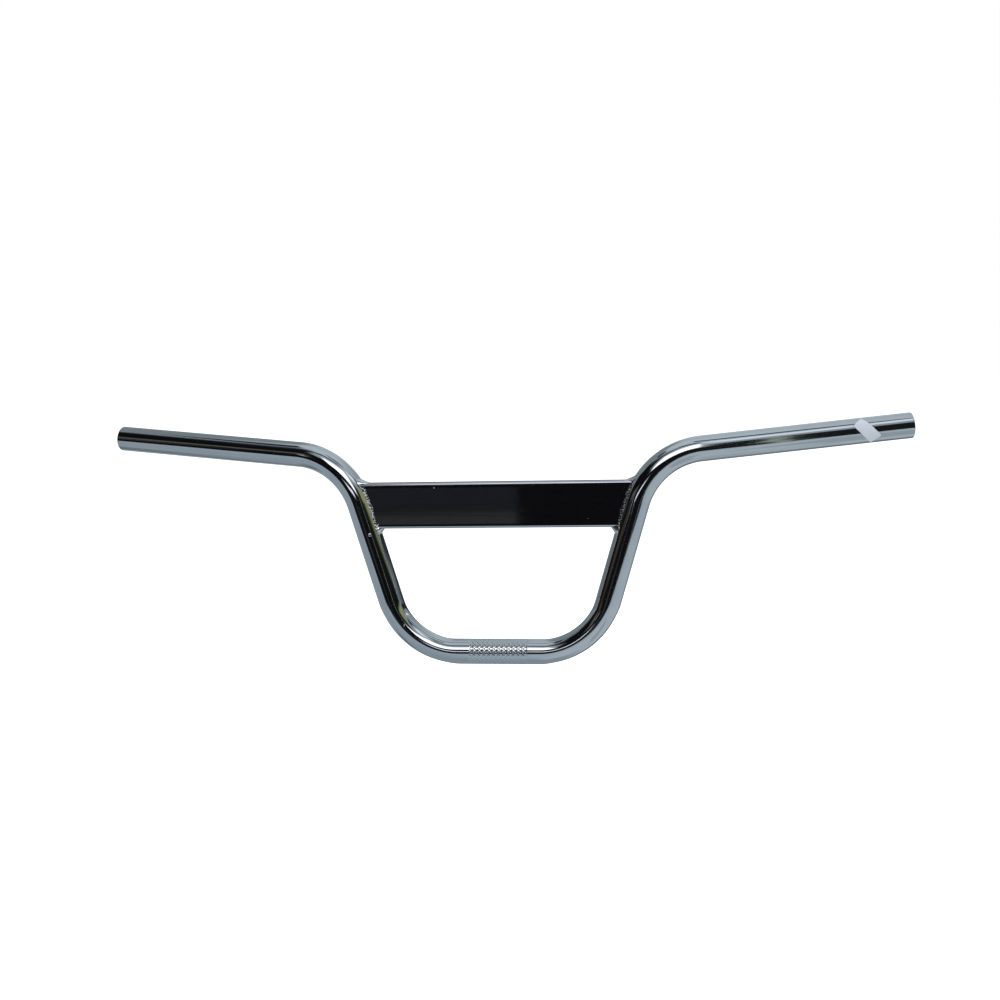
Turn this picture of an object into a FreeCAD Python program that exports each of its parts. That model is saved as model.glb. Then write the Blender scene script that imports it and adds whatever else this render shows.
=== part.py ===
# BMX handlebar: one bent steel tube, a flat crossbar welded between its legs, a stock label.
# Millimetres. The origin is the middle of the stem clamp, +X runs along the clamp to the
# rider's left hand, +Y is back to the rider and +Z is up the rise of the bar.
import FreeCAD, Part
import math
import os
from FreeCAD import Placement, Rotation, Vector

# Main tube
WIDTH = 711.0            # overall, rim to rim at the grip ends
RISE = 190.0             # from the clamp's axis up to the centre of a grip end
TUBE_DIAMETER = 22.2     # the bicycle standard for grips, levers and this clamp
TUBE_WALL = 1.6
CLAMP_LENGTH = 70.0      # straight run held by the stem
BEND_RADIUS = 63.5       # centreline radius of all four bends
LEG_ANGLE = 73.3         # legs above the horizontal, in degrees
UPSWEEP = 5.0            # grips above the horizontal, in degrees
BACKSWEEP = 10.0         # grips back to the rider, in degrees
RIM_CHAMFER = 0.5        # deburred edge at the open ends

# Crossbar, a flat rectangular tube
CROSSBAR_HEIGHT = 40.0
CROSSBAR_DEPTH = 12.0
CROSSBAR_WALL = 1.5
CROSSBAR_CORNER = 2.0    # outside corner radius
CROSSBAR_LEVEL = 129.0   # from the clamp's axis up to the crossbar's middle

# Welds round the crossbar's ends
BEAD_LEG = 2.2           # reach of the front and back beads, along the crossbar and round the tube
BEAD_CROWN = 0.8         # how far those beads stand proud of a straight fillet
WEDGE_LEG = 4.4          # reach of the top and bottom wedges along the crossbar
WEDGE_RISE = 11.0        # how far their slope climbs past the crossbar, at the leg's axis
WEDGE_SPREAD = 2.5       # how far they widen past the crossbar, at the leg's axis
WELD_TOE = 0.4           # depth that every weld's edge dips below the skin it lies on
LEAST_CLIMB = 5.0        # how far the side beads follow the upper bend at the least, in degrees

# Stock label on one grip
LABEL_LENGTH = 24.0
LABEL_WIDTH = 11.0
LABEL_THICKNESS = 0.1
LABEL_SLANT = 50.0       # its long side against the grip, in degrees
LABEL_FROM_END = 41.0    # its middle, in from the tube's end

# Worked out from the sizes above
TUBE_RADIUS = TUBE_DIAMETER / 2
BORE_RADIUS = TUBE_RADIUS - TUBE_WALL
X_AXIS = Vector(1, 0, 0)
Y_AXIS = Vector(0, 1, 0)
Z_AXIS = Vector(0, 0, 1)


def polar(up, back):
    # Unit vector raised and swept back from +X by two angles in degrees
    up = math.radians(up)
    back = math.radians(back)
    return Vector(math.cos(up) * math.cos(back), math.sin(back), math.sin(up) * math.cos(back))


CLAMP_DIR = X_AXIS
LEG_DIR = polar(LEG_ANGLE, 0)
GRIP_DIR = polar(UPSWEEP, BACKSWEEP)


def bend_step(incoming, outgoing):
    # Middle and end of one bend, measured from its start
    turn = incoming.getAngle(outgoing)
    toward = outgoing - incoming * incoming.dot(outgoing)
    toward.normalize()
    half = incoming * math.sin(turn / 2) + toward * (1 - math.cos(turn / 2))
    full = incoming * math.sin(turn) + toward * (1 - math.cos(turn))
    return half * BEND_RADIUS, full * BEND_RADIUS


def right_stations():
    # Points along the right half's centreline; leg and grip lengths meet the width and the rise
    low_mid, low_end = bend_step(CLAMP_DIR, LEG_DIR)
    top_mid, top_end = bend_step(LEG_DIR, GRIP_DIR)
    fixed = CLAMP_DIR * (CLAMP_LENGTH / 2) + low_end + top_end
    rim_reach = (TUBE_RADIUS - RIM_CHAMFER) * math.sqrt(1 - GRIP_DIR.x ** 2)
    across = WIDTH / 2 - rim_reach - fixed.x
    upward = RISE - fixed.z
    spread = LEG_DIR.x * GRIP_DIR.z - GRIP_DIR.x * LEG_DIR.z
    leg_length = (across * GRIP_DIR.z - GRIP_DIR.x * upward) / spread
    grip_length = (LEG_DIR.x * upward - across * LEG_DIR.z) / spread
    clamp_end = CLAMP_DIR * (CLAMP_LENGTH / 2)
    leg_start = clamp_end + low_end
    leg_end = leg_start + LEG_DIR * leg_length
    grip_start = leg_end + top_end
    grip_end = grip_start + GRIP_DIR * grip_length
    return [clamp_end, clamp_end + low_mid, leg_start, leg_end, leg_end + top_mid, grip_start, grip_end]


def mirrored(point):
    return Vector(-point.x, point.y, point.z)


STATIONS = right_stations()
GRIP_END = STATIONS[-1]


def centreline():
    # From the left grip's end, down through the clamp and up to the right grip's end
    halves = []
    for points in (STATIONS, [mirrored(point) for point in STATIONS]):
        clamp_end, low_mid, leg_start, leg_end, top_mid, grip_start, grip_end = points
        low_bend = Part.Arc(clamp_end, low_mid, leg_start).toShape()
        leg = Part.makeLine(leg_start, leg_end)
        top_bend = Part.Arc(leg_end, top_mid, grip_start).toShape()
        halves.append([low_bend, leg, top_bend, Part.makeLine(grip_start, grip_end)])
    clamp = Part.makeLine(mirrored(STATIONS[0]), STATIONS[0])
    right, left = halves
    return Part.Wire(left[::-1] + [clamp] + right)


def round_pipe(path, radius):
    # A solid round bar along the whole centreline
    end = mirrored(GRIP_END)
    circle = Part.Circle(end, mirrored(GRIP_DIR), radius).toShape()
    return path.makePipe(Part.Face(Part.Wire([circle])))


def at_grip_end(edge):
    # True for the rim edges of the two open ends
    if not isinstance(edge.Curve, Part.Circle):
        return False
    centre = edge.Curve.Center
    return min(centre.distanceToPoint(end) for end in (GRIP_END, mirrored(GRIP_END))) < 0.01


def bent_tube(path, body):
    # The bored tube, with both rims of each open end deburred
    tube = body.cut(round_pipe(path, BORE_RADIUS))
    rims = [edge for edge in tube.Edges if at_grip_end(edge)]
    return largest(tube.makeChamfer(RIM_CHAMFER, rims))


def largest(shape):
    return max(shape.Solids, key=lambda solid: solid.Volume)


def rounded_rectangle(centre, up, half_depth, half_height, corner):
    # Closed outline in the plane of Y and the up direction, drawn corner by corner
    edges = []
    corner = max(corner, 0.1)
    turns = ((1, 1), (-1, 1), (-1, -1), (1, -1))
    starts = []
    for index, (side, level) in enumerate(turns):
        pivot = centre + Y_AXIS * side * (half_depth - corner) + up * level * (half_height - corner)
        across = Y_AXIS * side * corner
        along = up * level * corner
        middle = pivot + (across + along) * math.sqrt(0.5)
        ends = (pivot + across, pivot + along)
        first, last = ends if index % 2 == 0 else ends[::-1]
        starts.append((first, middle, last))
    for index, (first, middle, last) in enumerate(starts):
        edges.append(Part.Arc(first, middle, last).toShape())
        edges.append(Part.makeLine(last, starts[(index + 1) % 4][0]))
    return Part.Wire(edges)


def flat_bar(inset):
    # The crossbar's section, inset all round, run across the whole width
    centre = Vector(-WIDTH / 2, 0, CROSSBAR_LEVEL)
    half_depth = CROSSBAR_DEPTH / 2 - inset
    half_height = CROSSBAR_HEIGHT / 2 - inset
    outline = rounded_rectangle(centre, Z_AXIS, half_depth, half_height, CROSSBAR_CORNER - inset)
    return Part.Face(outline).extrude(X_AXIS * WIDTH)


def crossbar_body(tube_body):
    # The stretch of flat bar between the legs, its ends mitred to the tube
    pieces = flat_bar(0).cut(tube_body).Solids
    return min(pieces, key=lambda piece: abs(piece.CenterOfMass.x))


def leg_point(path, level):
    # Where the right leg's centreline stands at a height
    across = Part.makeLine(Vector(0, 0, level), Vector(WIDTH / 2, 0, level))
    return path.distToShape(across)[1][0][0]


def rectangle(centre, up, half_depth, half_height):
    # Corners in the plane of Y and the up direction
    signs = ((1, 1), (-1, 1), (-1, -1), (1, -1))
    return [centre + Y_AXIS * side * half_depth + up * level * half_height for side, level in signs]


def faceted(outlines):
    # A solid with flat faces from each side of one outline to the same side of the next
    rings = [points + points[:1] for points in outlines]
    faces = [Part.Face(Part.makePolygon(ring)) for ring in (rings[0], rings[-1])]
    for near, far in zip(rings, rings[1:]):
        for index in range(len(near) - 1):
            first, second = near[index:index + 2]
            fourth, third = far[index:index + 2]
            faces.append(Part.Face(Part.makePolygon([first, second, third, fourth, first])))
    shell = Part.Shell(faces)
    shell.sewShape()
    solid = Part.makeSolid(shell)
    return solid if solid.Volume > 0 else solid.reversed()


def weld_wedges(path):
    # A block that tapers from inside the tube to the crossbar's flats, leaning with the leg
    low = leg_point(path, CROSSBAR_LEVEL - CROSSBAR_HEIGHT / 2)
    high = leg_point(path, CROSSBAR_LEVEL + CROSSBAR_HEIGHT / 2)
    up = Vector(high.x - low.x, 0, high.z - low.z)
    up.normalize()
    seat = Vector((low.x + high.x) / 2, 0, CROSSBAR_LEVEL)
    reach = X_AXIS * (-(TUBE_RADIUS + WEDGE_LEG) / up.z)
    half_height = CROSSBAR_HEIGHT / 2 / up.z
    root = rectangle(seat, up, CROSSBAR_DEPTH / 2 + WEDGE_SPREAD, half_height + WEDGE_RISE)
    toe = rectangle(seat + reach, up, CROSSBAR_DEPTH / 2 - CROSSBAR_CORNER, half_height - WELD_TOE)
    return faceted([root, toe])


def side_bead(side):
    # A crowned fillet up the mitre on the crossbar's front or back, as tall as the crossbar
    half_depth = CROSSBAR_DEPTH / 2
    skin = math.sqrt(TUBE_RADIUS ** 2 - half_depth ** 2)
    inward = LEG_DIR.cross(Y_AXIS)
    foot, leg_end = STATIONS[2:4]

    def place(reach, depth):
        return foot + inward * reach + Y_AXIS * side * depth

    around = math.asin(half_depth / TUBE_RADIUS) + BEAD_LEG / TUBE_RADIUS
    sunk = TUBE_RADIUS - WELD_TOE
    on_bar = place(skin + BEAD_LEG, half_depth - WELD_TOE)
    on_tube = place(sunk * math.cos(around), sunk * math.sin(around))
    chord = on_tube - on_bar
    outward = LEG_DIR.cross(chord) * side
    outward.normalize()
    crown = (on_bar + on_tube) * 0.5 + outward * (BEAD_CROWN + WELD_TOE)
    buried = place(skin - BEAD_LEG, half_depth - BEAD_LEG)
    outline = [on_bar, crown, on_tube, buried]

    pivot = leg_end - inward * BEND_RADIUS
    top = CROSSBAR_LEVEL + CROSSBAR_HEIGHT / 2
    climb = math.degrees(math.asin(min((top - pivot.z) / BEND_RADIUS, 1))) - (90 - LEG_ANGLE)
    sections = [outline]
    for share in (0, 0.5, 1):
        turn = Rotation(Y_AXIS, max(climb, LEAST_CLIMB) * share)
        sections.append([pivot + turn.multVec(point + leg_end - foot - pivot) for point in outline])
    slab = Part.makeBox(WIDTH, WIDTH, CROSSBAR_HEIGHT,
                        Vector(0, -WIDTH / 2, CROSSBAR_LEVEL - CROSSBAR_HEIGHT / 2))
    return faceted(sections).common(slab)


def right_weld(path, tube_body, bar_body):
    # Wedges above and below, beads in front and behind, less the two pieces that they join
    beads = [side_bead(side) for side in (-1, 1)]
    metal = weld_wedges(path).multiFuse(beads)
    return largest(metal.cut(tube_body).cut(bar_body))


def stock_label():
    # A slanted strip of a thin sleeve, on the front of the right grip
    middle = GRIP_END - GRIP_DIR * LABEL_FROM_END
    front = -Y_AXIS + GRIP_DIR * GRIP_DIR.y
    front.normalize()
    start = middle - GRIP_DIR * LABEL_LENGTH
    skin = Part.makeCylinder(TUBE_RADIUS + LABEL_THICKNESS, 2 * LABEL_LENGTH, start, GRIP_DIR)
    sleeve = skin.cut(Part.makeCylinder(TUBE_RADIUS, 2 * LABEL_LENGTH, start, GRIP_DIR))
    corner = Vector(-LABEL_LENGTH / 2, -LABEL_WIDTH / 2, 0)
    strip = Part.makeBox(LABEL_LENGTH, LABEL_WIDTH, TUBE_DIAMETER, corner)
    facing = Rotation(GRIP_DIR, front.cross(GRIP_DIR), front, "ZXY")
    slant = Rotation(Z_AXIS, -LABEL_SLANT)
    strip.Placement = Placement(middle, facing.multiply(slant))
    return largest(sleeve.common(strip))


def main():
    path = centreline()
    tube_body = round_pipe(path, TUBE_RADIUS)
    bar_body = crossbar_body(tube_body)
    weld = right_weld(path, tube_body, bar_body)
    parts = {
        "handlebar_tube": bent_tube(path, tube_body),
        "crossbar": largest(bar_body.cut(flat_bar(CROSSBAR_WALL))),
        "left_weld": weld.mirror(Vector(0, 0, 0), X_AXIS),
        "right_weld": weld,
        "stock_label": stock_label(),
    }
    os.makedirs("parts", exist_ok=True)
    for name, shape in parts.items():
        shape.exportStep("parts/" + name + ".step")


main()
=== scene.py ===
import math
import bpy
import numpy as np
from mathutils import Matrix


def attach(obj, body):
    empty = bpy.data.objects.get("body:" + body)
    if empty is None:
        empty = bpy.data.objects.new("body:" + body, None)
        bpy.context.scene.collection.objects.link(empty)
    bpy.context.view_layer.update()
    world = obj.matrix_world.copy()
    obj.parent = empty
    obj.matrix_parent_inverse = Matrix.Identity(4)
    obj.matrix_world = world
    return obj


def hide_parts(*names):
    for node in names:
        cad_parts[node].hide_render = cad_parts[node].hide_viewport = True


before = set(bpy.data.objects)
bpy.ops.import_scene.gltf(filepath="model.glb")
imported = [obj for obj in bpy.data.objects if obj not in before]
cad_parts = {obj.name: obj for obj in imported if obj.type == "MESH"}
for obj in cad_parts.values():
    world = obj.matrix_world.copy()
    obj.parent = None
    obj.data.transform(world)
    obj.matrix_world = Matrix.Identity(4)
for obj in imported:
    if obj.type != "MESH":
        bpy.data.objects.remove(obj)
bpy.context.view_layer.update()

mm = 0.001


# shared helpers

def unit(vectors):  # every vector divided by its own length
    return vectors / np.linalg.norm(vectors, axis=-1, keepdims=True)


def dotRows(first, second):  # row by row sum of products, kept as a column
    return np.sum(first * second, axis=-1, keepdims=True)


def hexLinear(code):  # sRGB to linear: c/12.92 in the toe, ((c + 0.055)/1.055)^2.4 above it
    channels = np.array([int(code[k:k + 2], 16) for k in (1, 3, 5)]) / 255
    linear = np.where(channels <= 0.04045, channels / 12.92, ((channels + 0.055) / 1.055) ** 2.4)
    return (*linear.tolist(), 1.0)


def smoothStep(low, high, values):  # 3t^2 - 2t^3 between two limits, flat outside them
    t = np.clip((values - low) / (high - low), 0, 1)
    return t * t * (3 - 2 * t)


def slowSines(waves, way, phase):  # sum of share * sin(way / length + turn * phase) over the waves
    return sum(share * np.sin(way / length + turn * phase) for share, length, turn in waves)


def closed(rows):  # the loop's rows with its first row again at the end
    return np.concatenate([rows, rows[:1]])


def loopWalk(spots):  # distance walked round a closed loop, from 0 to its whole length
    steps = np.linalg.norm(np.diff(closed(spots), axis=0), axis=1)
    return np.concatenate([[0], np.cumsum(steps)])


def gridQuads(rows, cols, closeRows, closeCols):
    # quad (i, j) joins points (i, j), (i, j+1), (i+1, j+1), (i+1, j); a closed side wraps to its start
    # marks hold each corner's row and column before wrapping, for the UV map
    rowCount, colCount = rows - (not closeRows), cols - (not closeCols)
    i, j = np.meshgrid(np.arange(rowCount), np.arange(colCount), indexing="ij")
    corners = [(i, j), (i, j + 1), (i + 1, j + 1), (i + 1, j)]
    quads = np.stack([(a % rows) * cols + b % cols for a, b in corners], -1).reshape(-1, 4)
    marks = np.stack([np.stack([a, b], -1) for a, b in corners], -2).reshape(-1, 2)
    return quads, marks


def makePiece(name, points, quads, caps=(), uv=None, smooth=True):
    # volume = sum of p0 . (p1 x p2) / 6 over the triangles; below zero the faces point in, so all turn
    flat = points.reshape(-1, 3)
    a, b, c, d = (flat[quads[:, k]] for k in range(4))
    volume = np.sum(dotRows(a, np.cross(b, c)) + dotRows(a, np.cross(c, d))) / 6
    order = -1 if volume < 0 else 1
    faces = [block[:, ::order] for block in [quads] + [np.array([cap]) for cap in caps]]
    sizes = np.concatenate([np.full(len(block), block.shape[1]) for block in faces])
    starts = np.concatenate([[0], np.cumsum(sizes)[:-1]])
    corners = np.concatenate([block.ravel() for block in faces])
    mesh = bpy.data.meshes.new(name)
    mesh.vertices.add(len(flat))
    mesh.vertices.foreach_set("co", flat.ravel())
    mesh.loops.add(len(corners))
    mesh.loops.foreach_set("vertex_index", corners.astype(np.int32))
    mesh.polygons.add(len(sizes))
    mesh.polygons.foreach_set("loop_start", starts.astype(np.int32))
    mesh.polygons.foreach_set("use_smooth", np.full(len(sizes), smooth))
    if uv is not None:
        loopUv = uv.reshape(-1, 4, 2)[:, ::order].reshape(-1, 2)
        pad = np.zeros((len(corners) - len(loopUv), 2))  # caps have no pattern
        mesh.uv_layers.new(name="surface").data.foreach_set("uv", np.concatenate([loopUv, pad]).ravel())
    mesh.update(calc_edges=True)
    mesh.validate()
    piece = bpy.data.objects.new(name, mesh)
    bpy.context.collection.objects.link(piece)
    return piece


def settle(piece, node, slotName, *materials):  # the piece takes its node's place and its materials
    for material in materials:
        piece.data.materials.append(material)
    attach(piece, "root")
    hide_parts(node)
    print(piece.name, "faces", len(piece.data.polygons))


def addNode(tree, kind, settings=None, links=None):
    # a node with its settings, which name an input or else a property of the node
    # a link that comes from a node takes its first output
    node = tree.nodes.new(kind)
    for key, value in (settings or {}).items():
        if isinstance(key, int) or key in node.inputs:
            node.inputs[key].default_value = value
        else:
            setattr(node, key, value)
    for key, source in (links or {}).items():
        socket = source.outputs[0] if isinstance(source, bpy.types.Node) else source
        tree.links.new(socket, node.inputs[key])
    return node


def newMaterial(name):  # a material with an empty node tree
    material = bpy.data.materials.new(name)
    material.use_nodes = True
    material.node_tree.nodes.clear()
    return material, material.node_tree


# the bar's centreline: clamp, lower bend, leg, upper bend, grip, then the same mirrored

barSizes = {
    "width": 710.95 * mm, "rise": 189.98 * mm,    # over the rims, and up to the grip's end
    "radius": 11.08 * mm, "wall": 1.6 * mm,
    "clampLength": 70 * mm, "bendRadius": 63.5 * mm,
    "legAngle": 73.3, "upsweep": 5.0, "backsweep": 10.0,  # degrees
    "rim": 0.7 * mm,                              # rounded edge of the open ends
}


def heading(up, back):  # unit vector raised, then swept back, from +X
    up, back = math.radians(up), math.radians(back)
    return np.array([math.cos(up) * math.cos(back), math.sin(back), math.sin(up) * math.cos(back)])


def bendToward(inDir, outDir):  # unit vector square to the way in, on the side that the bend turns to
    return unit(outDir - (inDir @ outDir) * inDir)


def bendChord(inDir, outDir, radius):  # start to end of a bend: radius (sin a * in + (1 - cos a) * toward)
    turn = math.acos(inDir @ outDir)
    toward = bendToward(inDir, outDir)
    return radius * (math.sin(turn) * inDir + (1 - math.cos(turn)) * toward), turn * radius


def layRuns(sizes):
    # leg and grip lengths solve: fixed runs + leg * legDir + grip * gripDir = (width, rise) at the end
    bendRadius, clampHalf = sizes["bendRadius"], sizes["clampLength"] / 2
    flatDir, legDir = heading(0, 0), heading(sizes["legAngle"], 0)
    gripDir = heading(sizes["upsweep"], sizes["backsweep"])
    lowChord, lowLength = bendChord(flatDir, legDir, bendRadius)
    topChord, topLength = bendChord(legDir, gripDir, bendRadius)
    rimReach = (sizes["radius"] - sizes["rim"]) * math.sqrt(1 - gripDir[0] ** 2)
    fixed = flatDir * clampHalf + lowChord + topChord
    goal = np.array([sizes["width"] / 2 - rimReach - fixed[0], sizes["rise"] - fixed[2]])
    slopes = np.array([[legDir[0], gripDir[0]], [legDir[2], gripDir[2]]])
    leg, grip = np.linalg.solve(slopes, goal)
    plan = ((flatDir, flatDir, clampHalf, flatDir * clampHalf), (flatDir, legDir, lowLength, lowChord),
            (legDir, legDir, leg, legDir * leg), (legDir, gripDir, topLength, topChord),
            (gripDir, gripDir, grip, gripDir * grip))
    runs, start, travelled = [], np.zeros(3), 0.0
    for inDir, outDir, length, step in plan:
        runs.append({"start": start, "inDir": inDir, "outDir": outDir, "straight": inDir is outDir,
                     "from": travelled, "to": travelled + length})
        start, travelled = start + step, travelled + length
    return runs


barRuns = layRuns(barSizes)
barHalf = barRuns[-1]["to"]


def alongBar(s):
    # straight run: start + d * in; bend: start + R (sin(d/R) in + (1 - cos(d/R)) toward)
    # x flips on the left half
    side = np.where(s < 0, -1.0, 1.0)
    distance = np.minimum(np.abs(s), barHalf)
    point, direction = np.zeros((len(s), 3)), np.zeros((len(s), 3))
    radius = barSizes["bendRadius"]
    for run in barRuns:
        here = (distance >= run["from"]) & (distance <= run["to"])
        start, inDir = run["start"], run["inDir"]
        d = (distance[here] - run["from"])[:, None]
        if run["straight"]:
            point[here] = start + d * inDir
            direction[here] = inDir
        else:
            toward = bendToward(inDir, run["outDir"])
            swing = d / radius
            point[here] = start + radius * (np.sin(swing) * inDir + (1 - np.cos(swing)) * toward)
            direction[here] = np.cos(swing) * inDir + np.sin(swing) * toward
    point[:, 0] *= side
    direction[:, 1:] *= side[:, None]
    return point, direction


def barFrame(s):  # centre, then two unit vectors across the tube: down or outward, and back to the rider
    point, direction = alongBar(s)
    back = unit(np.array([0.0, 1.0, 0.0]) - direction[:, 1:2] * direction)
    return point, np.cross(back, direction), back


# the bent tube, with its knurled clamp and open bored ends

tubeLook = {
    "around": 192, "bendRings": 34, "straightRings": 10, "shoulderRings": 3,
    "boreBendRings": 14, "boreStraightRings": 3, "rimSteps": 6,
    "rimLead": (6, 2), "boreLead": 4,             # last rings before the rim, in rim widths
    "oval": 0.05, "ovalEase": 14 * mm,            # bending has flattened the two lower bends a little
    "knurlHalf": 26 * mm, "knurlDepth": 0.22 * mm, "knurlFade": 1.5 * mm, "knurlGroove": 0.42,
    "knurlAround": 16, "knurlPitch": 4.3 * mm,    # real knurl is about 1.3 mm, drawn coarser to show
    "ringsPerPitch": 13,
}


def runStations(bendRings, straightRings):  # arc lengths down the right half, denser on the bends
    counts = [straightRings if run["straight"] else bendRings for run in barRuns[1:]]
    parts = [np.linspace(run["from"], run["to"], n + 1)[1:] for run, n in zip(barRuns[1:], counts)]
    return np.concatenate([[barRuns[0]["to"]]] + parts)


def bentTube(look, sizes):
    # point(s, a) = centre(s) + r(s, a) (cos a * down + sin a * back)
    # s runs out along the skin, over the rim and back down the bore
    # knurl: r drops by the depth in grooves where min(|sin pi(p + q)|, |sin pi(p - q)|) is small,
    # so the diamonds between stay flat; p and q count pitches along and around
    # oval: r shrinks by its share of cos^2 a along the lower bends, easing in and out at their ends
    radius, bore, rim = sizes["radius"], sizes["radius"] - sizes["wall"], sizes["rim"]
    knurlHalf, clampEnd, end = look["knurlHalf"], barRuns[0]["to"], barHalf
    knurlCount = int(2 * knurlHalf / look["knurlPitch"] * look["ringsPerPitch"])
    knurled = np.linspace(-knurlHalf, knurlHalf, knurlCount)
    shoulder = np.linspace(knurlHalf, clampEnd, look["shoulderRings"] + 2)[1:-1]
    outerHalf = runStations(look["bendRings"], look["straightRings"])[:-1]
    outerRight = np.concatenate([shoulder, outerHalf, end - rim * np.array(look["rimLead"])])
    outer = np.concatenate([-outerRight[::-1], knurled, outerRight])
    turn = np.linspace(0, np.pi / 2, look["rimSteps"])
    rimS = np.concatenate([end - rim + rim * np.sin(turn), end - rim + rim * np.cos(turn)])
    rimR = np.concatenate([radius - rim + rim * np.cos(turn), bore + rim - rim * np.sin(turn)])
    boreHalf = runStations(look["boreBendRings"], look["boreStraightRings"])[:-1]
    boreEnd = end - look["boreLead"] * rim
    inner = np.concatenate([[boreEnd], boreHalf[::-1], [0.0], -boreHalf, [-boreEnd]])
    s = np.concatenate([outer, rimS, inner, -rimS[::-1]])
    r = np.concatenate([np.full(len(outer), radius), rimR, np.full(len(inner), bore), rimR[::-1]])
    outside = np.arange(len(s)) < len(outer)
    a = np.linspace(0, 2 * np.pi, look["around"], endpoint=False)
    p, q = s[:, None] / look["knurlPitch"], a[None, :] * look["knurlAround"] / (2 * np.pi)
    grooves = np.minimum(np.abs(np.sin(np.pi * (p + q))), np.abs(np.sin(np.pi * (p - q))))
    band = smoothStep(0, look["knurlFade"], knurlHalf - np.abs(s)) * outside
    bend, ease = barRuns[1], look["ovalEase"]
    inBend = smoothStep(0, ease, np.abs(s) - bend["from"]) * smoothStep(0, ease, bend["to"] - np.abs(s))
    reach = r[:, None] * (1 - look["oval"] * inBend[:, None] * np.cos(a) ** 2)
    reach = reach - look["knurlDepth"] * band[:, None] * (1 - smoothStep(0, look["knurlGroove"], grooves))
    centre, down, back = barFrame(s)
    across = np.cos(a)[None, :, None] * down[:, None] + np.sin(a)[None, :, None] * back[:, None]
    quads, marks = gridQuads(len(s), len(a), True, True)
    uv = np.stack([closed(s)[marks[:, 0]], marks[:, 1] * 2 * np.pi * radius / len(a)], -1)
    piece = makePiece("bentTube", centre[:, None] + reach[..., None] * across, quads, uv=uv)
    row, boreStart = quads[:, 0] // len(a), len(outer) + len(rimS)
    bare = (row >= boreStart) & (row < boreStart + len(inner))  # the bore is left unplated
    return piece, bare.astype(np.int32)


# the flat crossbar, mitred into the legs

crossbarSizes = {
    "height": 40 * mm, "depth": 12 * mm, "corner": 2.0 * mm, "level": 129 * mm,
    "sunk": 1.0 * mm,                             # how far the mitre goes into the leg's wall
    "cornerSteps": 10, "flatSteps": 8, "stations": 40,
    "lastStation": 0.003,                         # share of the reach; the leg hides the cap's shading
}


def barOutline(sizes):
    # rounded rectangle: y, z and the outward normal; quarter circles join the flats
    corner = sizes["corner"]
    inset = np.array([sizes["depth"] / 2 - corner, sizes["height"] / 2 - corner])
    centres = np.array([(1, 1), (-1, 1), (-1, -1), (1, -1)]) * inset
    quarter = np.linspace(0, np.pi / 2, sizes["cornerSteps"])
    share = np.linspace(0, 1, sizes["flatSteps"] + 1)[1:-1, None]
    spots, normals = [], []
    for k, (centre, nextCentre) in enumerate(zip(centres, np.roll(centres, -1, 0))):
        turn = quarter + k * np.pi / 2
        facing = np.stack([np.cos(turn), np.sin(turn)], -1)
        lift = corner * facing[-1]
        spots += [centre + corner * facing, (centre + lift) * (1 - share) + (nextCentre + lift) * share]
        normals += [facing, np.repeat(facing[-1:], len(share), 0)]
    return np.concatenate(spots), np.concatenate(normals)


def evenLoop(spots, normals, count):  # the same loop with its points spaced evenly by distance walked
    walk = loopWalk(spots)
    marks = np.linspace(0, walk[-1], count, endpoint=False)
    spots, normals = (np.stack([np.interp(marks, walk, column) for column in closed(rows).T], -1)
                      for rows in (spots, normals))
    return spots, unit(normals), marks


mitreSearch = {"samples": 1500, "reach": 40 * mm, "halvings": 26}
legLine, legDirs = alongBar(np.linspace(barRuns[2]["from"], barRuns[3]["to"], mitreSearch["samples"]))


def nearestOnLeg(points):  # closest sample of the right leg's centreline, slid along it to be exact
    pick = np.argmin(np.sum((points[:, None] - legLine[None]) ** 2, -1), 1)
    foot, direction = legLine[pick], legDirs[pick]
    return foot + dotRows(points - foot, direction) * direction


def mitreX(y, z, radius):
    # from the leg's centreline at that height inward: halve the interval of x
    # until the distance to the centreline is the radius
    high = np.interp(z, legLine[:, 2], legLine[:, 0])
    low = high - mitreSearch["reach"]
    for _ in range(mitreSearch["halvings"]):
        middle = (low + high) / 2
        spot = np.stack([middle, y, z], -1)
        outside = np.linalg.norm(spot - nearestOnLeg(spot), axis=1) > radius
        low, high = np.where(outside, middle, low), np.where(outside, high, middle)
    return (low + high) / 2


def flatCrossbar(sizes):
    # point(t, w) = (t * mitre(w), y(w), z(w)): the outline w carried along x,
    # each line ending inside the leg's wall
    spots, _ = barOutline(sizes)
    y, z = spots[:, 0], spots[:, 1] + sizes["level"]
    reach = mitreX(y, z, barSizes["radius"] - sizes["sunk"])
    inner = 1 - sizes["lastStation"]
    t = np.concatenate([[-1], np.linspace(-inner, inner, sizes["stations"]), [1]])
    x = t[:, None] * reach
    grid = np.stack([x, np.broadcast_to(y, x.shape), np.broadcast_to(z, x.shape)], -1)
    quads, marks = gridQuads(len(t), len(z), False, True)
    uv = np.stack([t[marks[:, 0]] * reach.mean(), loopWalk(spots)[marks[:, 1]]], -1)
    ring = np.arange(len(z))
    caps = (ring[::-1], ring + (len(t) - 1) * len(z))
    return makePiece("flatCrossbar", grid, quads, caps=caps, uv=uv)


# the weld beads round both ends of the crossbar, and drops of spatter beside them

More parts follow.
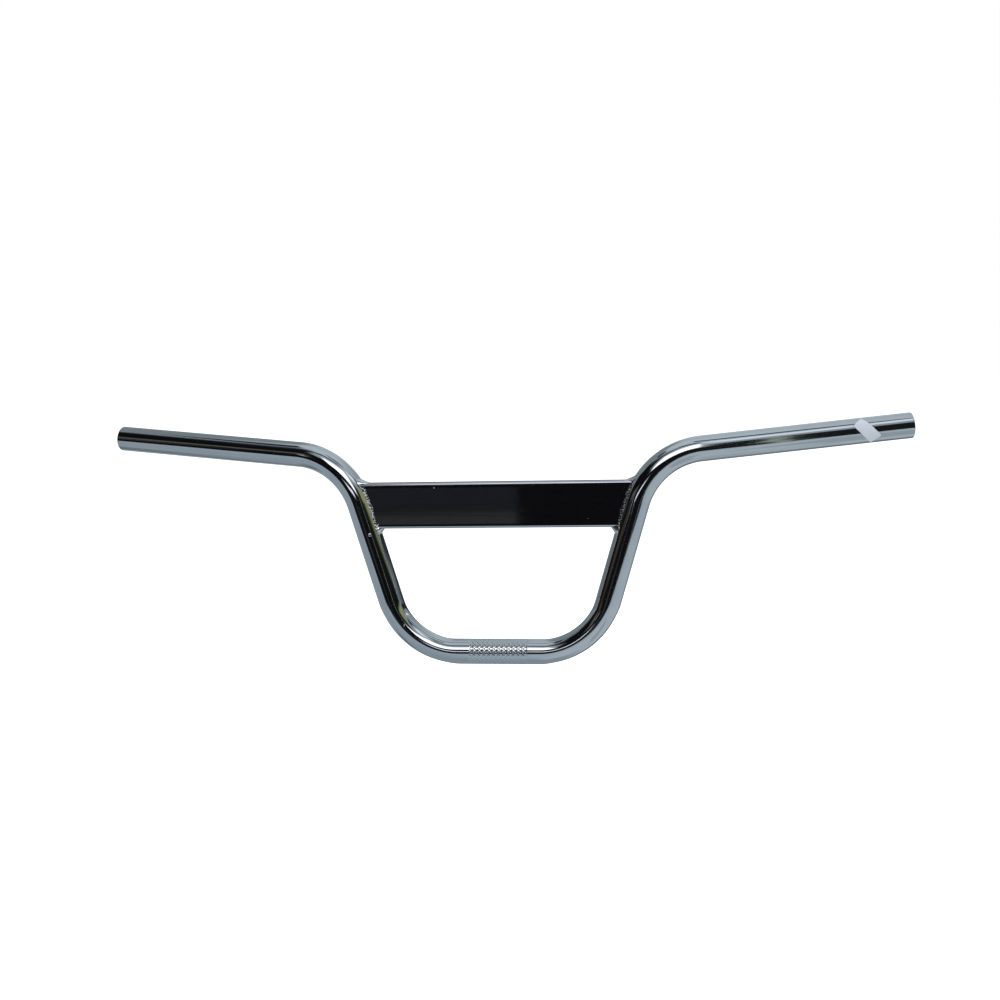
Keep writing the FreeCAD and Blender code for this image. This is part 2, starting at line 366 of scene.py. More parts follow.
weldLook = {
    "along": 640, "across": 22, "under": 5, "uvStep": 0.3 * mm,
    "legBar": 2.3 * mm, "legTube": 1.2 * mm,      # reach in front and behind
    "topBar": 7.0 * mm, "topTube": 4.5 * mm,      # and of the fills above and below
    "lowBar": 4.5 * mm, "lowTube": 5.0 * mm, "fillFrom": 0.2,
    "swell": ((0.16, 17 * mm, 1), (0.09, 7.3 * mm, 2)),  # share of the reach, length, turns of phase
    "crown": 0.2 * mm, "sunk": 0.25 * mm, "root": 0.7 * mm,
    "topDip": 0.6 * mm, "lowDip": 0.4 * mm,       # the fills are hollow-faced
    "ripple": 0.34 * mm, "ripplePitch": 2.2 * mm, "crescent": 0.55, "sharp": 1.4, "topCalm": 0.85,
    "lump": 0.15 * mm, "lumps": ((0.3, 7, 1), (0.2, 3.1, 3)),  # share, length in ripples, turns of phase
}


def weldBead(name, side, look, sizes, phase):
    # section from toe A on the bar to toe B on the leg:
    # A(1 - v) + B v + outward (crown - dip + ripple + lump)
    # crown, dip and lump follow 4v(1 - v); reach and lump vary by slow sines of w
    # ripple = a row of crescents: cos of 2 pi (w / pitch + crescent (2v - 1)^2)
    spots, facing, w = evenLoop(*barOutline(sizes), look["along"])
    y, z = spots[:, 0], spots[:, 1] + sizes["level"]
    mitre = np.stack([mitreX(y, z, barSizes["radius"]), y, z], -1)
    barNormal = np.stack([np.zeros(len(w)), facing[:, 0], facing[:, 1]], -1)
    tubeNormal = unit(mitre - nearestOnLeg(mitre))
    alongTube = unit(barNormal - dotRows(barNormal, tubeNormal) * tubeNormal)
    top, low = (smoothStep(look["fillFrom"], 1, way * facing[:, 1])[:, None] for way in (1, -1))
    swell = 1 + slowSines(look["swell"], 2 * np.pi * w, phase)[:, None]
    shares = (("leg", 1 - top - low), ("top", top), ("low", low))
    legBar, legTube = (swell * sum(look[part + end] * share for part, share in shares)
                       for end in ("Bar", "Tube"))
    toeA = mitre - np.array([1.0, 0.0, 0.0]) * legBar - barNormal * look["sunk"]
    toeB = mitre + alongTube * legTube
    hub = nearestOnLeg(toeB)
    toeB = hub + unit(toeB - hub) * (barSizes["radius"] - look["sunk"])
    v = np.linspace(0, 1, look["across"])[None, :, None]
    hump = 4 * v * (1 - v)
    loopLength = w[-1] + w[1]
    ripples = round(loopLength / look["ripplePitch"])
    turns = 2 * np.pi * ripples * (w / loopLength)[:, None, None]
    beat = 0.5 + 0.5 * np.cos(turns + 2 * np.pi * look["crescent"] * (2 * v - 1) ** 2 + phase)
    ripple = look["ripple"] * beat ** look["sharp"] * (1 - look["topCalm"] * top[:, None])
    lump = look["lump"] * (0.5 + slowSines(look["lumps"], turns, phase))
    crown = (look["crown"] - look["topDip"] * top - look["lowDip"] * low)[:, None]
    rise = (crown + lump) * hump + ripple * np.sqrt(hump)
    outward = unit(barNormal + tubeNormal)
    face = toeA[:, None] * (1 - v) + toeB[:, None] * v + outward[:, None] * rise
    root = mitre - (barNormal + tubeNormal) * look["root"]
    u = np.linspace(0, 1, look["under"] + 2)[1:-1][None, :, None]
    bezier = ((1 - u) ** 2, 2 * u * (1 - u), u ** 2)  # back from B to A, inside the metal
    under = sum(part * spot[:, None] for part, spot in zip(bezier, (toeB, root, toeA)))
    grid = np.concatenate([face, under], 1) * np.array([side, 1, 1])
    quads, marks = gridQuads(grid.shape[0], grid.shape[1], True, True)
    uv = marks * np.array([w[1], look["uvStep"]])
    return makePiece(name, grid, quads, uv=uv)


spatterLook = {
    "rings": 10, "around": 24, "height": 0.25, "sunk": 0.12,  # height and depth as shares of a radius
    "right": ((196.1 * mm, -150, 0.6 * mm),),     # travel along the bar, angle round it in degrees, radius
    "left": ((-177 * mm, -105, 1.6 * mm), (-217.7 * mm, -150, 1.9 * mm), (-209 * mm, -104, 0.6 * mm),
             (-91 * mm, -102, 0.8 * mm), (-272 * mm, -95, 0.5 * mm)),
}


def spatterDrops(name, drops, look):
    # each drop is a flattened ball sunk in the skin, with a flat cap over each pole:
    # size (sin p (cos q * along + sin q * across) + (height cos p - sunk) * outward)
    p = np.linspace(0, np.pi, look["rings"] + 2)[1:-1, None, None]
    q = np.linspace(0, 2 * np.pi, look["around"], endpoint=False)[None, :, None]
    shells, quads, caps = [], [], []
    for travel, angle, size in drops:
        (centre,), (down,), (back,) = barFrame(np.array([travel]))
        along = alongBar(np.array([travel]))[1][0]
        outward = math.cos(math.radians(angle)) * down + math.sin(math.radians(angle)) * back
        flat = np.cos(q) * along + np.sin(q) * np.cross(outward, along)
        shell = np.sin(p) * flat + (look["height"] * np.cos(p) - look["sunk"]) * outward
        first = len(shells) * look["rings"] * look["around"]
        ring = np.arange(look["around"]) + first
        quads.append(gridQuads(look["rings"], look["around"], False, True)[0] + first)
        caps += [ring[::-1], ring + (look["rings"] - 1) * look["around"]]
        shells.append(centre + barSizes["radius"] * outward + size * shell)
    return makePiece(name, np.concatenate(shells), np.concatenate(quads), caps=caps)


# the small paper stock label on the right grip

labelSizes = {
    "length": 23 * mm, "width": 11 * mm, "thickness": 0.1 * mm, "slant": 50.0, "fromEnd": 41 * mm,
    "steps": (48, 24), "glue": 0.02 * mm,
    "lift": 0.25 * mm, "liftFrom": 0.9, "liftTo": 1.25,  # corners that have come up a little
}


def paperLabel(sizes, bar):
    # rolled onto the grip: (p, q) turned by the slant gives travel along the axis and arc / radius round it
    (centre,), (direction,) = alongBar(np.array([barHalf - sizes["fromEnd"]]))
    front = unit(np.array([0.0, -1.0, 0.0]) + direction[1] * direction)
    upward = np.cross(front, direction)
    rows, cols = sizes["steps"]
    p = np.linspace(-0.5, 0.5, rows) * sizes["length"]
    q = np.linspace(-0.5, 0.5, cols) * sizes["width"]
    p, q = np.meshgrid(p, q, indexing="ij")
    slant = math.radians(sizes["slant"])
    travel = (p * math.cos(slant) + q * math.sin(slant))[..., None]
    arc = ((-p * math.sin(slant) + q * math.cos(slant)) / bar["radius"])[..., None]
    outOfMiddle = np.hypot(2 * p / sizes["length"], 2 * q / sizes["width"])
    curl = smoothStep(sizes["liftFrom"], sizes["liftTo"], outOfMiddle) * sizes["lift"]
    layers = []
    for height in (sizes["thickness"], 0.0):
        r = (bar["radius"] + height + curl * (height > 0) + sizes["glue"])[..., None]
        layers.append(centre + travel * direction + r * (np.cos(arc) * front + np.sin(arc) * upward))
    # the top layer's edge joins the bottom layer's in the same order, so the sheet is closed all round
    quads, _ = gridQuads(2 * rows, cols, False, False)
    quads = quads[(quads[:, 0] // cols) != rows - 1]
    quads = np.where(quads[:, :1] >= rows * cols, quads[:, ::-1], quads)
    edge = np.concatenate([np.arange(cols), np.arange(2, rows) * cols - 1,
                           rows * cols - 1 - np.arange(cols), np.arange(rows - 2, 0, -1) * cols])
    nextEdge = np.roll(edge, -1)
    skirt = np.stack([edge, nextEdge, nextEdge + rows * cols, edge + rows * cols], -1)[:, ::-1]
    return makePiece("paperLabel", np.concatenate(layers), np.concatenate([quads, skirt]))


# materials

chromeLook = {
    "colour": "#C9CED1", "bluer": "#BCC2C8", "roughness": 0.045, "rougher": 0.099,
    "wave": 16 * mm, "waveHeight": 0.02 * mm,     # slow unevenness that polishing leaves
    "scratch": 0.9 * mm, "scratchStretch": 40.0,  # hairlines from buffing, drawn coarser than real
    "scratchFrom": 0.35, "scratchTo": 0.75,
    "knurlEdge": 26 * mm, "knurlFrost": 0.06,     # the pressed clamp is duller
}


def chromePlate(look):  # bright chrome plate on buffed tube: dark and light mirror bands, barely wavy
    material, tree = newMaterial("chromePlate")
    where = addNode(tree, "ShaderNodeTexCoord")
    wave = addNode(tree, "ShaderNodeTexNoise", {
        "Scale": 1 / look["wave"], "Detail": 2.0, "Roughness": 0.45}, {"Vector": where.outputs["Object"]})
    fine = 1 / look["scratch"]
    stretch = addNode(tree, "ShaderNodeMapping", {"Scale": (fine / look["scratchStretch"], fine, 1.0)},
                      {"Vector": where.outputs["UV"]})
    hair = addNode(tree, "ShaderNodeTexNoise", {"Scale": 1.0, "Detail": 3.0}, {"Vector": stretch})
    gloss = addNode(tree, "ShaderNodeMapRange", {
        "From Min": look["scratchFrom"], "From Max": look["scratchTo"],
        "To Min": look["roughness"], "To Max": look["rougher"]}, {"Value": hair})
    parts = addNode(tree, "ShaderNodeSeparateXYZ", {}, {0: where.outputs["UV"]})
    away = addNode(tree, "ShaderNodeMath", {"operation": "ABSOLUTE"}, {0: parts})
    frost = addNode(tree, "ShaderNodeMapRange", {
        "From Min": look["knurlEdge"], "From Max": look["knurlEdge"] + mm,
        "To Min": look["knurlFrost"], "To Max": 0.0}, {"Value": away})
    dull = addNode(tree, "ShaderNodeMath", {"operation": "ADD"}, {0: gloss, 1: frost})
    bump = addNode(tree, "ShaderNodeBump", {"Strength": 1.0, "Distance": look["waveHeight"]},
                   {"Height": wave})
    tint = addNode(tree, "ShaderNodeMix", {
        "data_type": "RGBA", 6: hexLinear(look["colour"]), 7: hexLinear(look["bluer"])}, {0: wave})
    shader = addNode(tree, "ShaderNodeBsdfPrincipled", {"Metallic": 1.0},
                     {"Base Color": tint.outputs[2], "Roughness": dull, "Normal": bump})
    addNode(tree, "ShaderNodeOutputMaterial", {}, {"Surface": shader})
    return material


crossbarLook = {
    "colour": "#C4C8CC", "bluer": "#B4B6C4", "roughness": 0.03, "rougher": 0.07,
    "streak": 1.6 * mm, "streakStretch": 60.0,    # long draw marks left by the flat tube's die
    "streakHeight": 0.004 * mm,
    "smudge": 22 * mm, "markFrom": 0.2, "markTo": 0.42,  # handling marks
    "speck": 25 * mm, "speckCore": 0.018, "speckSize": 0.03,  # dust nibs under the plate, about 0.7 mm
    "speckDull": 0.5,
}


def drawnChrome(look):  # chrome on drawn flat tube: a near-flat mirror with streaks, smudges and nibs
    material, tree = newMaterial("drawnChrome")
    where = addNode(tree, "ShaderNodeTexCoord")
    fine = 1 / look["streak"]
    stretch = addNode(tree, "ShaderNodeMapping", {"Scale": (fine / look["streakStretch"], fine, fine)},
                      {"Vector": where.outputs["Object"]})
    streak = addNode(tree, "ShaderNodeTexNoise", {"Scale": 1.0, "Detail": 4.0}, {"Vector": stretch})
    smudge = addNode(tree, "ShaderNodeTexNoise", {"Scale": 1 / look["smudge"], "Detail": 3.0},
                     {"Vector": where.outputs["Object"]})
    mark = addNode(tree, "ShaderNodeMath", {"operation": "MULTIPLY"}, {0: streak, 1: smudge})
    gloss = addNode(tree, "ShaderNodeMapRange", {
        "From Min": look["markFrom"], "From Max": look["markTo"],
        "To Min": look["roughness"], "To Max": look["rougher"]}, {"Value": mark})
    nib = addNode(tree, "ShaderNodeTexVoronoi", {"Scale": 1 / look["speck"]},
                  {"Vector": where.outputs["Object"]})
    speck = addNode(tree, "ShaderNodeMapRange", {
        "From Min": look["speckCore"], "From Max": look["speckSize"],
        "To Min": look["speckDull"], "To Max": 0.0}, {"Value": nib})
    dull = addNode(tree, "ShaderNodeMath", {"operation": "ADD"}, {0: gloss, 1: speck})
    bump = addNode(tree, "ShaderNodeBump", {"Strength": 1.0, "Distance": look["streakHeight"]},
                   {"Height": streak})
    tint = addNode(tree, "ShaderNodeMix", {
        "data_type": "RGBA", 6: hexLinear(look["colour"]), 7: hexLinear(look["bluer"])}, {0: smudge})
    shader = addNode(tree, "ShaderNodeBsdfPrincipled", {"Metallic": 1.0},
                     {"Base Color": tint.outputs[2], "Roughness": dull, "Normal": bump})
    addNode(tree, "ShaderNodeOutputMaterial", {}, {"Surface": shader})
    return material


weldFinish = {
    # pit colour: brown residue in the weld's pits, with the pits' shade painted in too
    "colour": "#CDD2D6", "pitStainAndShade": "#3E3833", "roughness": 0.08, "rougher": 0.2,
    "grain": 0.8 * mm, "grainHeight": 0.05 * mm, "grainBump": 0.5, "grainFrom": 0.3, "grainTo": 0.8,
    "pitStainAndShadeFrom": 0.48, "pitStainAndShadeTo": 0.62,
    "level": crossbarSizes["level"],
    "seam": 17.5 * mm, "seamEnd": 20 * mm,        # only the upright runs get the dark pits of stain and painted shade
}
lessPittedFinish = {**weldFinish, "grain": 1.5 * mm, "pitStainAndShadeTo": 0.53}  # the left run gets fewer dark pits, so less painted shade, and renders brighter


def platedWeld(name, look):  # the same plate over an unground weld: dark brown pits, residue with the pits' shade painted in, between broken glints
    material, tree = newMaterial(name)
    where = addNode(tree, "ShaderNodeTexCoord")
    grain = addNode(tree, "ShaderNodeTexNoise", {"Scale": 1 / look["grain"], "Detail": 3.0},
                    {"Vector": where.outputs["Object"]})
    gloss = addNode(tree, "ShaderNodeMapRange", {
        "From Min": look["grainFrom"], "From Max": look["grainTo"],
        "To Min": look["roughness"], "To Max": look["rougher"]}, {"Value": grain})
    bump = addNode(tree, "ShaderNodeBump", {"Strength": look["grainBump"], "Distance": look["grainHeight"]},
                   {"Height": grain})
    parts = addNode(tree, "ShaderNodeSeparateXYZ", {}, {0: where.outputs["Object"]})
    above = addNode(tree, "ShaderNodeMath", {"operation": "SUBTRACT", 1: look["level"]},
                    {0: parts.outputs[2]})
    away = addNode(tree, "ShaderNodeMath", {"operation": "ABSOLUTE"}, {0: above})
    seam = addNode(tree, "ShaderNodeMapRange", {
        "From Min": look["seam"], "From Max": look["seamEnd"],
        "To Min": 1.0, "To Max": 0.0}, {"Value": away})
    # painted shade with residue: grain spots darkened as the weld's pits
    pitStainAndShade = addNode(tree, "ShaderNodeMapRange", {
        "From Min": look["pitStainAndShadeFrom"], "From Max": look["pitStainAndShadeTo"],
        "To Min": 1.0, "To Max": 0.0}, {"Value": grain})
    dark = addNode(tree, "ShaderNodeMath", {"operation": "MULTIPLY"}, {0: seam, 1: pitStainAndShade})
    tint = addNode(tree, "ShaderNodeMix", {
        "data_type": "RGBA", 6: hexLinear(look["colour"]), 7: hexLinear(look["pitStainAndShade"])}, {0: dark})
    shader = addNode(tree, "ShaderNodeBsdfPrincipled", {"Metallic": 1.0},
                     {"Base Color": tint.outputs[2], "Roughness": gloss, "Normal": bump})
    addNode(tree, "ShaderNodeOutputMaterial", {}, {"Surface": shader})
    return material


boreFinish = {"colour": "#6A6E70", "stain": "#48433E", "patch": 6 * mm, "roughness": 0.38, "rougher": 0.6}


def bareSteel(look):  # bare drawn steel where plating hardly reaches: dull, dark, a little brown
    material, tree = newMaterial("bareSteel")
    where = addNode(tree, "ShaderNodeTexCoord")
    patch = addNode(tree, "ShaderNodeTexNoise", {"Scale": 1 / look["patch"], "Detail": 4.0},
                    {"Vector": where.outputs["Object"]})
    tint = addNode(tree, "ShaderNodeMix", {
        "data_type": "RGBA", 6: hexLinear(look["colour"]), 7: hexLinear(look["stain"])}, {0: patch})
    gloss = addNode(tree, "ShaderNodeMapRange", {"To Min": look["roughness"], "To Max": look["rougher"]},
                    {"Value": patch})
    shader = addNode(tree, "ShaderNodeBsdfPrincipled", {"Metallic": 1.0},
                     {"Base Color": tint.outputs[2], "Roughness": gloss})
    addNode(tree, "ShaderNodeOutputMaterial", {}, {"Surface": shader})
    return material


paperFinish = {
    "colour": "#C4CCD6", "shade": "#B4BEC9", "roughness": 0.7,
    "fibre": 0.7 * mm, "fibreHeight": 0.03 * mm, "fibreBump": 0.4,
}


def labelPaper(look):  # uncoated label paper: matt, bluish white, faint fibre
    material, tree = newMaterial("labelPaper")
    where = addNode(tree, "ShaderNodeTexCoord")
    fibre = addNode(tree, "ShaderNodeTexNoise", {"Scale": 1 / look["fibre"], "Detail": 4.0},
                    {"Vector": where.outputs["Object"]})
    tint = addNode(tree, "ShaderNodeMix", {
        "data_type": "RGBA", 6: hexLinear(look["colour"]), 7: hexLinear(look["shade"])}, {0: fibre})
    bump = addNode(tree, "ShaderNodeBump", {"Strength": look["fibreBump"], "Distance": look["fibreHeight"]},
                   {"Height": fibre})
    shader = addNode(tree, "ShaderNodeBsdfPrincipled", {"Roughness": look["roughness"]},
                     {"Base Color": tint.outputs[2], "Normal": bump})
    addNode(tree, "ShaderNodeOutputMaterial", {}, {"Surface": shader})
    return material


# the pieces in their places

tube, bareFaces = bentTube(tubeLook, barSizes)
settle(tube, "handlebar_tube", "tube_chrome", chromePlate(chromeLook), bareSteel(boreFinish))
tube.data.polygons.foreach_set("material_index", bareFaces)
settle(flatCrossbar(crossbarSizes), "crossbar", "crossbar_chrome", drawnChrome(crossbarLook))
weldMaterial = platedWeld("platedWeld", weldFinish)
# the left bead's plate: fewer pits of stain and painted shade
lessPittedMaterial = platedWeld("lessPittedWeld", lessPittedFinish)
rightBead = weldBead("rightBead", 1, weldLook, crossbarSizes, phase=0.6)
leftBead = weldBead("leftBead", -1, weldLook, crossbarSizes, phase=2.1)
settle(rightBead, "right_weld", "weld_chrome", weldMaterial)
settle(leftBead, "left_weld", "weld_chrome", lessPittedMaterial)
rightSpatter = spatterDrops("rightSpatter", spatterLook["right"], spatterLook)
leftSpatter = spatterDrops("leftSpatter", spatterLook["left"], spatterLook)
settle(rightSpatter, "right_weld", "weld_chrome", weldMaterial)
settle(leftSpatter, "left_weld", "weld_chrome", weldMaterial)
settle(paperLabel(labelSizes, barSizes), "stock_label", "label_paper", labelPaper(paperFinish))


# the studio: white sweep, soft lamps, and reflection cards that only the chrome sees

studio = {
    "floorDrop": 0.32, "floorSize": 120.0, "floorColour": "#F4F4F4", "floorLift": 0.7,
    "floorRoughness": 0.9, "floorShine": 0.1,
    "lampHeight": 1.9, "lampPower": 20.0, "lampSize": 1.6, "skyLight": 0.6,
    "lamps": {"lampLeft": (-1.3, -1.2), "lampRight": (1.3, -1.2), "lampBack": (0.0, 1.3)},
    "middle": (0, 0, 0.1),                        # what the lamps aim at and the cards stand round
    "cardRadius": 3.0, "cardLayer": 0.08, "cardSteps": (33, 17),
    "roomRadius": 3.3, "roomSteps": (64, 33), "roomFloor": -3.2, "roomCeiling": 3.4,
}


def onSphere(az, el, radius):  # azimuth from +Y turning to +X, then elevation, round the studio's middle
    spot = np.stack([np.cos(el) * np.sin(az), np.cos(el) * np.cos(az), np.sin(el)], -1)
    return spot * radius + np.array(studio["middle"])


def cardGlow(name, colour, strength, soft):  # even glow that fades to the card's edges, by its UV map
    material, tree = newMaterial(name)
    where = addNode(tree, "ShaderNodeUVMap", {"uv_map": "surface"})
    parts = addNode(tree, "ShaderNodeSeparateXYZ", {}, {0: where})
    masks = []
    for axis in (0, 1):
        away = addNode(tree, "ShaderNodeMath", {"operation": "PINGPONG", 1: 0.5}, {0: parts.outputs[axis]})
        masks.append(addNode(tree, "ShaderNodeMapRange", {
            "interpolation_type": "SMOOTHSTEP", "From Min": 0.0,
            "From Max": soft[axis] / 2}, {"Value": away}))
    both = addNode(tree, "ShaderNodeMath", {"operation": "MULTIPLY"}, {0: masks[0], 1: masks[1]})
    glow = addNode(tree, "ShaderNodeEmission", {"Color": hexLinear(colour), "Strength": strength})
    clear = addNode(tree, "ShaderNodeBsdfTransparent")
    mix = addNode(tree, "ShaderNodeMixShader", {}, {0: both, 1: clear, 2: glow})
    addNode(tree, "ShaderNodeOutputMaterial", {}, {"Surface": mix})
    return material


def onlyForChrome(piece, material):  # reflection cards light nothing but mirror surfaces
    piece.data.materials.append(material)
    material.cycles.emission_sampling = "NONE"
    piece.visible_camera = piece.visible_diffuse = piece.visible_shadow = False
    piece.visible_transmission = piece.visible_volume_scatter = False


def card(name, colour, strength, azimuth, low, high, soft, layer):
    # a patch of sphere: azimuth runs between its two ends, and elevation between a low and a high edge,
    # each given at both ends and blended between them, in degrees
    rows, cols = studio["cardSteps"]
    u, v = np.meshgrid(np.linspace(0, 1, rows), np.linspace(0, 1, cols), indexing="ij")
    az = azimuth[0] + (azimuth[1] - azimuth[0]) * u
    lowEdge = low[0] + (low[1] - low[0]) * u
    highEdge = high[0] + (high[1] - high[0]) * u
    el = lowEdge + (highEdge - lowEdge) * v
    spot = onSphere(np.radians(az), np.radians(el), studio["cardRadius"] - studio["cardLayer"] * layer)
    quads, marks = gridQuads(rows, cols, False, False)
    piece = makePiece(name, spot, quads, uv=marks / np.array([rows - 1, cols - 1]))
    onlyForChrome(piece, cardGlow(name, colour, strength, soft))


def surround(stops):  # a grey-blue room round the bar: a whole sphere, its colour set by height
    rows, cols = studio["roomSteps"]
    turn = np.linspace(0, 2 * np.pi, rows, endpoint=False)
    az, el = np.meshgrid(turn, np.linspace(-np.pi / 2, np.pi / 2, cols), indexing="ij")
    quads, _ = gridQuads(rows, cols, True, False)
    piece = makePiece("surround", onSphere(az, el, studio["roomRadius"]), quads)
    material, tree = newMaterial("greyRoom")
    where = addNode(tree, "ShaderNodeTexCoord")
    parts = addNode(tree, "ShaderNodeSeparateXYZ", {}, {0: where.outputs["Object"]})
    level = addNode(tree, "ShaderNodeMapRange", {
        "From Min": studio["roomFloor"], "From Max": studio["roomCeiling"]}, {"Value": parts.outputs[2]})
    ramp = addNode(tree, "ShaderNodeValToRGB", {}, {0: level})
    while len(ramp.color_ramp.elements) < len(stops):
        ramp.color_ramp.elements.new(0.5)
    for element, (place, colour) in zip(ramp.color_ramp.elements, stops):
        element.position, element.color = place, hexLinear(colour)
    glow = addNode(tree, "ShaderNodeEmission", {"Strength": 1.0}, {"Color": ramp})
    addNode(tree, "ShaderNodeOutputMaterial", {}, {"Surface": glow})
    onlyForChrome(piece, material)


def seenDirectly(tree):  # 1 for camera, glossy and transmission rays, 0 for those that light things
    ray = addNode(tree, "ShaderNodeLightPath")
    seen = addNode(tree, "ShaderNodeMath", {"operation": "ADD"},
                   {0: ray.outputs["Is Camera Ray"], 1: ray.outputs["Is Glossy Ray"]})
    return addNode(tree, "ShaderNodeMath", {"operation": "ADD", "use_clamp": True},
                   {0: seen, 1: ray.outputs["Is Transmission Ray"]})


roomStops = ((0.0, "#A0ABB2"), (0.2, "#ACB9C2"), (0.36, "#B0BDC5"), (0.5, "#A0ABB0"),
             (0.7, "#98A3A9"), (0.9, "#BEC6CC"), (1.0, "#D8E0E6"))

# colour, strength, azimuth at both ends, low and high edge at both ends,
# softness of the ends and of the edges, layer (a higher one hangs nearer, in front)
# azimuth 0 is behind the bar, 90 to its right, 180 the camera's side
cardLook = {
    "backHorizon": ("#7A8285", 1.0, (-100, 60), (-56, -56), (14, 14), (0.25, 0.4), 0.4),
    "backLeft": ("#8F9A9D", 1.0, (-105, -15), (4, 4), (70, 66), (0.25, 0.3), 0.5),
    "backMiddle": ("#CAD7DC", 1.0, (-12, 26), (10, 10), (86, 86), (0.3, 0.25), 0.6),
    "darkFlagBack": ("#3A3F43", 1.0, (-34, 50), (-6, -6), (12, 12), (0.3, 0.3), 0.9),
    "leftGrey": ("#A9B4BC", 1.0, (-132, -14), (-42, -42), (3, 3), (0.15, 0.3), 0.6),
    "innerGrey": ("#7E868A", 1.0, (-94, -34), (-1, -1), (13, 13), (0.2, 0.4), 0.9),
    "lowRight": ("#C8D2D8", 1.0, (30, 200), (-84, -84), (-8, -8), (0.25, 0.6), 0.5),
    "lowRightDim": ("#B2BCC0", 1.0, (94, 143.5), (-68.1, -47.3), (-55, -28), (0.05, 0.15), 1.5),
    "dimRight": ("#5A6268", 1.0, (10, 112), (-10, -10), (10, 16), (0.2, 0.4), 0.8),
    "softWindow": ("#FFFFFF", 2.2, (157, 199), (13, 23), (47, 44), (0.2, 0.3), 3),
    "darkFlagLeft": ("#141315", 1.0, (-204, -140), (-13, -18), (26, 36), (0.05, 0.12), 1),
    "darkFlagFarLeft": ("#161413", 1.0, (-146, -112), (-18.5, -6.5), (36, 39), (0.1, 0.12), 1.3),
    "darkFlagTall": ("#131315", 1.0, (-158, -92), (14, 14), (74, 62), (0.4, 0.75), 2),
    "darkTopLeft": ("#2A2C30", 1.0, (-122, -84), (57, 57), (68, 68), (0.4, 0.4), 2.1),
    "darkFlagTaper": ("#1C1814", 1.0, (-118, -90), (-2, 3), (46, 40), (0.15, 0.2), 1),
    "darkFlagRight": ("#151516", 1.0, (94, 182), (-18, -18), (20, 23), (0.08, 0.12), 1.6),
    "darkFlagRightGrip": ("#1E2020", 1.0, (130, 161), (-18, -18), (30, 34), (0.25, 0.2), 2),
    "tanPost": ("#B0B8AC", 1.0, (152.6, 154.0), (-2, -2), (37, 30), (0.3, 0.2), 2.4),
    "tanPostFoot": ("#B0B8AC", 1.0, (149.2, 153.4), (-23.3, 0), (-18.4, 10.2), (0.15, 0.3), 2.5),
    # hung close, so that only the right grip sees it
    "paleStrip": ("#F0F7FF", 1.2, (114, 152), (38.5, 41), (52, 60), (0.3, 0.45), 22.5),
    "slateGap": ("#59646F", 1.0, (120, 166), (54, 70), (72, 86), (0.3, 0.45), 2),
    "slateBand": ("#333C47", 1.0, (98, 136), (31, 36), (47, 57), (0.3, 0.4), 2.5),
    "slateArc": ("#39434D", 1.0, (152, 192), (52, 55), (61, 67), (0.2, 0.5), 2.7),
    "slateArcFar": ("#2E3640", 1.0, (188, 236), (55, 41), (67, 52), (0.2, 0.5), 2.8),
    "lowWindow": ("#F4F2FF", 1.5, (180, 202), (4, 0), (11, 6), (0.4, 0.5), 3),
    "darkBandRight": ("#2A2D2F", 1.0, (12, 100), (4, 14), (10, 30), (0.2, 0.5), 1),
    "warmWall": ("#AEB080", 0.9, (84, 142), (9, 13), (34, 35), (0.4, 0.6), 2.6),
    "thinGlint": ("#FFFFFF", 1.2, (46, 98), (25, 31), (28, 35), (0.4, 0.7), 2),
    "brownGlow": ("#4A4038", 1.0, (-140, -112), (0, 3), (9, 10), (0.6, 0.7), 2.2),
    "oliveLine": ("#62625A", 1.0, (-150, -118), (9, 8), (22, 21), (0.4, 0.7), 2.3),
    "arrowGlint": ("#D0D0D4", 1.0, (-144.4, -141.8), (3, 3), (11, 11), (0.6, 0.6), 2.6),
    "dimRoomHigh": ("#25272B", 1.0, (-172.8, -158), (-5, -5), (-1, -1), (0.02, 0.3), 2.6),
    "dimRoomLow": ("#3A3A38", 1.0, (-172.8, -158), (-9, -9), (-4.6, -4.6), (0.02, 0.3), 2.8),
}

surround(roomStops)
for name, look in cardLook.items():
    card(name, *look)
print("cards hung", len(cardLook))

ends = (-studio["floorSize"] / 2, studio["floorSize"] / 2)
floorSpots = np.array([[x, y, -studio["floorDrop"]] for x in ends for y in ends])
floor = makePiece("floor", floorSpots, np.array([[0, 2, 3, 1]]), smooth=False)
floorMaterial, floorTree = newMaterial("paleFloor")
floorShader = addNode(floorTree, "ShaderNodeBsdfPrincipled", {
    "Base Color": hexLinear(studio["floorColour"]), "Roughness": studio["floorRoughness"],
    "Specular IOR Level": studio["floorShine"]})
floorLift = addNode(floorTree, "ShaderNodeMath", {"operation": "MULTIPLY", 1: studio["floorLift"]},
                    {0: seenDirectly(floorTree)})
floorGlow = addNode(floorTree, "ShaderNodeEmission", {"Color": (1, 1, 1, 1)}, {"Strength": floorLift})
floorSum = addNode(floorTree, "ShaderNodeAddShader", {}, {0: floorShader, 1: floorGlow})
addNode(floorTree, "ShaderNodeOutputMaterial", {}, {"Surface": floorSum})
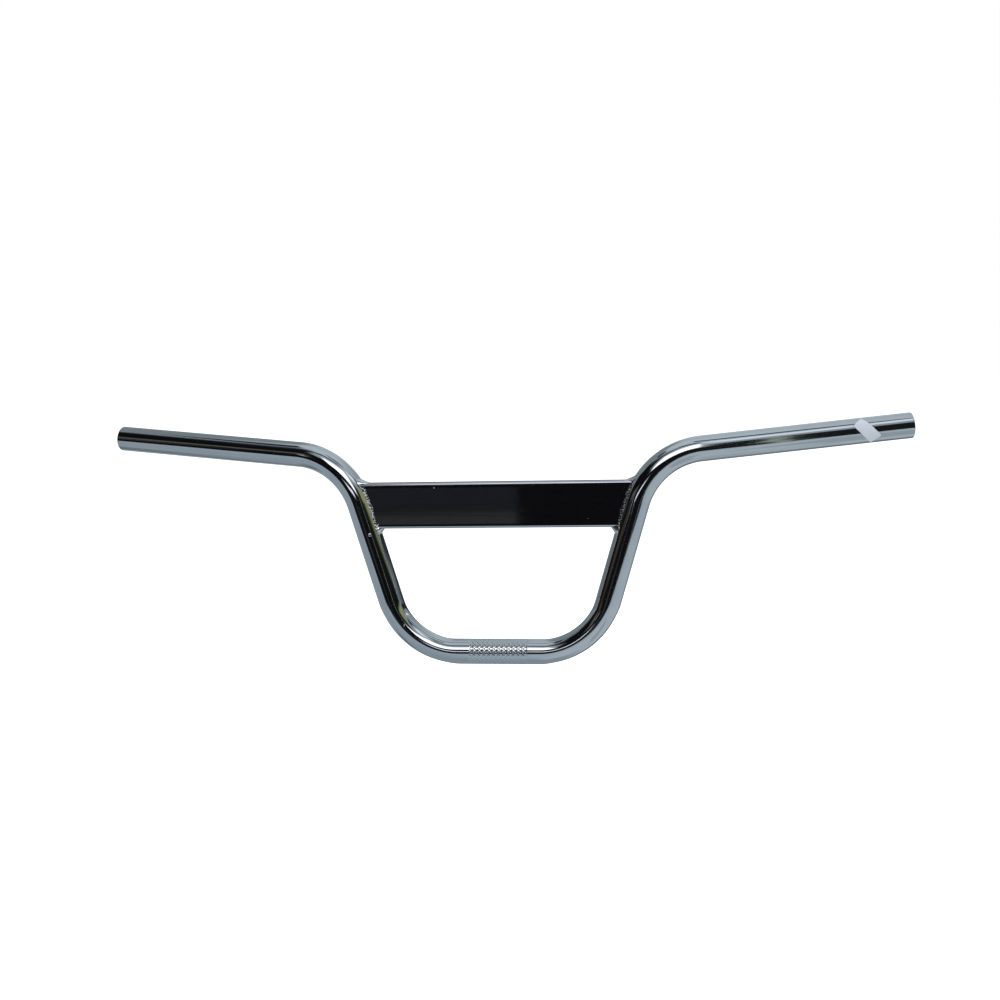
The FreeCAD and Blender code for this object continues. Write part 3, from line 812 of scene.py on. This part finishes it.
floor.data.materials.append(floorMaterial)
floor.visible_glossy = False                      # the chrome sees the grey room below instead

for name, place in studio["lamps"].items():
    lampData = bpy.data.lights.new(name, "AREA")
    lampData.energy, lampData.size = studio["lampPower"], studio["lampSize"]
    lamp = bpy.data.objects.new(name, lampData)
    spot = np.array([*place, studio["lampHeight"]])
    aim = unit(spot - np.array(studio["middle"]))
    across = unit(np.cross([0.0, 0.0, 1.0], aim))
    stance = np.stack([across, np.cross(aim, across), aim, spot], -1)
    lamp.matrix_world = Matrix(stance.tolist() + [[0, 0, 0, 1]])
    lamp.visible_glossy = False
    bpy.context.collection.objects.link(lamp)

world = bpy.data.worlds.new("whiteStudio")
bpy.context.scene.world = world
world.use_nodes = True
sky = world.node_tree
sky.nodes.clear()
skyLevel = addNode(sky, "ShaderNodeMapRange", {"To Min": studio["skyLight"], "To Max": 1.0},
                   {"Value": seenDirectly(sky)})
skyGlow = addNode(sky, "ShaderNodeBackground", {"Color": (1, 1, 1, 1)}, {"Strength": skyLevel})
addNode(sky, "ShaderNodeOutputWorld", {}, {"Surface": skyGlow})
print("floor, lamps and sky set")


# the camera: in front of the bar, a little to its right and above, tipped down

cameraView = {
    "place": (0.1793, -1.1939, 0.2381), "turn": 8.392, "tip": -4.987, "roll": -1.306,
    "lens": 50.4, "sensor": 36.0,
}

cameraData = bpy.data.cameras.new("productCamera")
cameraData.lens, cameraData.sensor_width = cameraView["lens"], cameraView["sensor"]
cameraData.sensor_fit = "HORIZONTAL"
camera = bpy.data.objects.new("productCamera", cameraData)
camera.matrix_world = Matrix.Translation(cameraView["place"])
for degrees, axis in ((cameraView["turn"], "Z"), (90 + cameraView["tip"], "X"), (cameraView["roll"], "Z")):
    camera.matrix_world = camera.matrix_world @ Matrix.Rotation(math.radians(degrees), 4, axis)
bpy.context.collection.objects.link(camera)
bpy.context.scene.camera = camera
bpy.context.scene.view_settings.view_transform = "Standard"
print("camera", [list(row) for row in camera.matrix_world])
